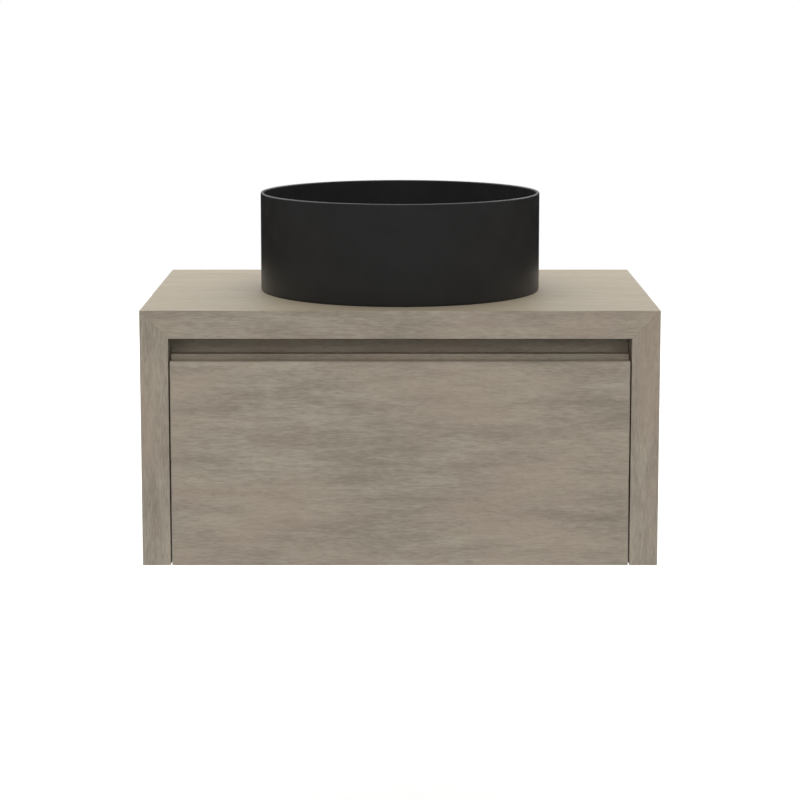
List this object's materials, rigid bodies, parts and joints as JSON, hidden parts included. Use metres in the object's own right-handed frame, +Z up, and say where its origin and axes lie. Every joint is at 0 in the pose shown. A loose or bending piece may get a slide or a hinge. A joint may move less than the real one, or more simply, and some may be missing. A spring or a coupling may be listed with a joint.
{
  "type": "wall-hung vanity with vessel basin",
  "caption": "Wall-hung bathroom vanity: mitred oak-decor cabinet with one handleless inset drawer and a round black vessel basin on top.",
  "frame": {"origin": "on the wall plane, on the centre line, at the cabinet's bottom edge", "axes": "+X to the right seen from the front, +Y into the wall, +Z up; the front faces -Y"},
  "size_m": [0.7, 0.45, 0.49],
  "materials": {
    "oak_board": "matt grey oak decor",
    "melamine_board": "light grey melamine",
    "beech_dowel": "turned beech",
    "zinc_steel": "zinc plated",
    "bearing_steel": "polished",
    "hanger_plastic": "white plastic",
    "black_glaze": "satin black",
    "black_silicone": "tooled silicone",
    "black_metal": "satin black",
    "brass_cartridge": "turned",
    "rubber_seal": "moulded",
    "white_plastic": "moulded"
  },
  "bodies": {
    "cabinet": {"top_panel": "oak_board", "side_panel_left": "oak_board", "side_panel_right": "oak_board", "recess_back_board": "oak_board", "back_rail_upper": "melamine_board", "back_rail_lower": "melamine_board", "mitre_dowels": "beech_dowel", "rail_dowels": "beech_dowel", "wall_plate_left": "zinc_steel", "wall_plate_right": "zinc_steel", "hanger_left": "hanger_plastic", "hanger_right": "hanger_plastic", "hanger_screws": "zinc_steel", "runner_cabinet_left": "zinc_steel", "runner_cabinet_right": "zinc_steel", "runner_screws_cabinet": "zinc_steel", "vessel_basin": "black_glaze", "silicone_bead": "black_silicone", "waste_body": "black_metal", "waste_seal_upper": "rubber_seal", "waste_seal_lower": "rubber_seal", "waste_nut": "black_metal", "waste_cartridge": "brass_cartridge", "trap_inlet_nut": "white_plastic", "trap_inlet_pipe": "white_plastic", "trap_neck_nut": "white_plastic", "trap_body": "white_plastic", "trap_cup": "white_plastic", "trap_outlet_nut": "white_plastic", "trap_outlet_pipe": "white_plastic", "trap_seals": "rubber_seal"},
    "drawer": {"drawer_front": "oak_board", "grip_rail": "oak_board", "drawer_subfront": "melamine_board", "drawer_side_left": "melamine_board", "drawer_side_right": "melamine_board", "drawer_back_left": "melamine_board", "drawer_back_right": "melamine_board", "trap_guard_left": "melamine_board", "trap_guard_right": "melamine_board", "trap_guard_front": "melamine_board", "drawer_bottom": "melamine_board", "drawer_dowels": "beech_dowel", "front_screws": "zinc_steel", "runner_drawer_left": "zinc_steel", "runner_drawer_right": "zinc_steel", "runner_screws_drawer": "zinc_steel"},
    "runner_middle_left": {"runner_middle_left": "zinc_steel"},
    "runner_middle_right": {"runner_middle_right": "zinc_steel"},
    "ball_cage_outer_left": {"ball_cage_outer_left": "bearing_steel"},
    "ball_cage_outer_right": {"ball_cage_outer_right": "bearing_steel"},
    "ball_cage_inner_left": {"ball_cage_inner_left": "bearing_steel"},
    "ball_cage_inner_right": {"ball_cage_inner_right": "bearing_steel"},
    "waste_cap": {"waste_cap": "black_metal", "waste_cap_ring": "rubber_seal"}
  },
  "joints": [
    {"name": "drawer_slide", "type": "slide", "parent": "cabinet", "child": "drawer", "axis": [0, -1, 0], "range_m": [0, 0.39]},
    {"name": "runner_middle_left_slide", "type": "slide", "parent": "cabinet", "child": "runner_middle_left", "axis": [0, -1, 0], "range_m": [0, 0.195]},
    {"name": "ball_cage_outer_left_slide", "type": "slide", "parent": "cabinet", "child": "ball_cage_outer_left", "axis": [0, -1, 0], "range_m": [0, 0.0975]},
    {"name": "ball_cage_inner_left_slide", "type": "slide", "parent": "cabinet", "child": "ball_cage_inner_left", "axis": [0, -1, 0], "range_m": [0, 0.2925]},
    {"name": "runner_middle_right_slide", "type": "slide", "parent": "cabinet", "child": "runner_middle_right", "axis": [0, -1, 0], "range_m": [0, 0.195]},
    {"name": "ball_cage_outer_right_slide", "type": "slide", "parent": "cabinet", "child": "ball_cage_outer_right", "axis": [0, -1, 0], "range_m": [0, 0.0975]},
    {"name": "ball_cage_inner_right_slide", "type": "slide", "parent": "cabinet", "child": "ball_cage_inner_right", "axis": [0, -1, 0], "range_m": [0, 0.2925]},
    {"name": "waste_cap_press", "type": "slide", "parent": "cabinet", "child": "waste_cap", "axis": [0, 0, 1], "range_m": [-0.007, 0], "stiffness_N_per_m": 400, "springref_m": 0.002}
  ],
  "couplings": [
    {"joint": "runner_middle_left_slide", "follows": "drawer_slide", "ratio": 0.5},
    {"joint": "ball_cage_outer_left_slide", "follows": "drawer_slide", "ratio": 0.25},
    {"joint": "ball_cage_inner_left_slide", "follows": "drawer_slide", "ratio": 0.75},
    {"joint": "runner_middle_right_slide", "follows": "drawer_slide", "ratio": 0.5},
    {"joint": "ball_cage_outer_right_slide", "follows": "drawer_slide", "ratio": 0.25},
    {"joint": "ball_cage_inner_right_slide", "follows": "drawer_slide", "ratio": 0.75}
  ]
}
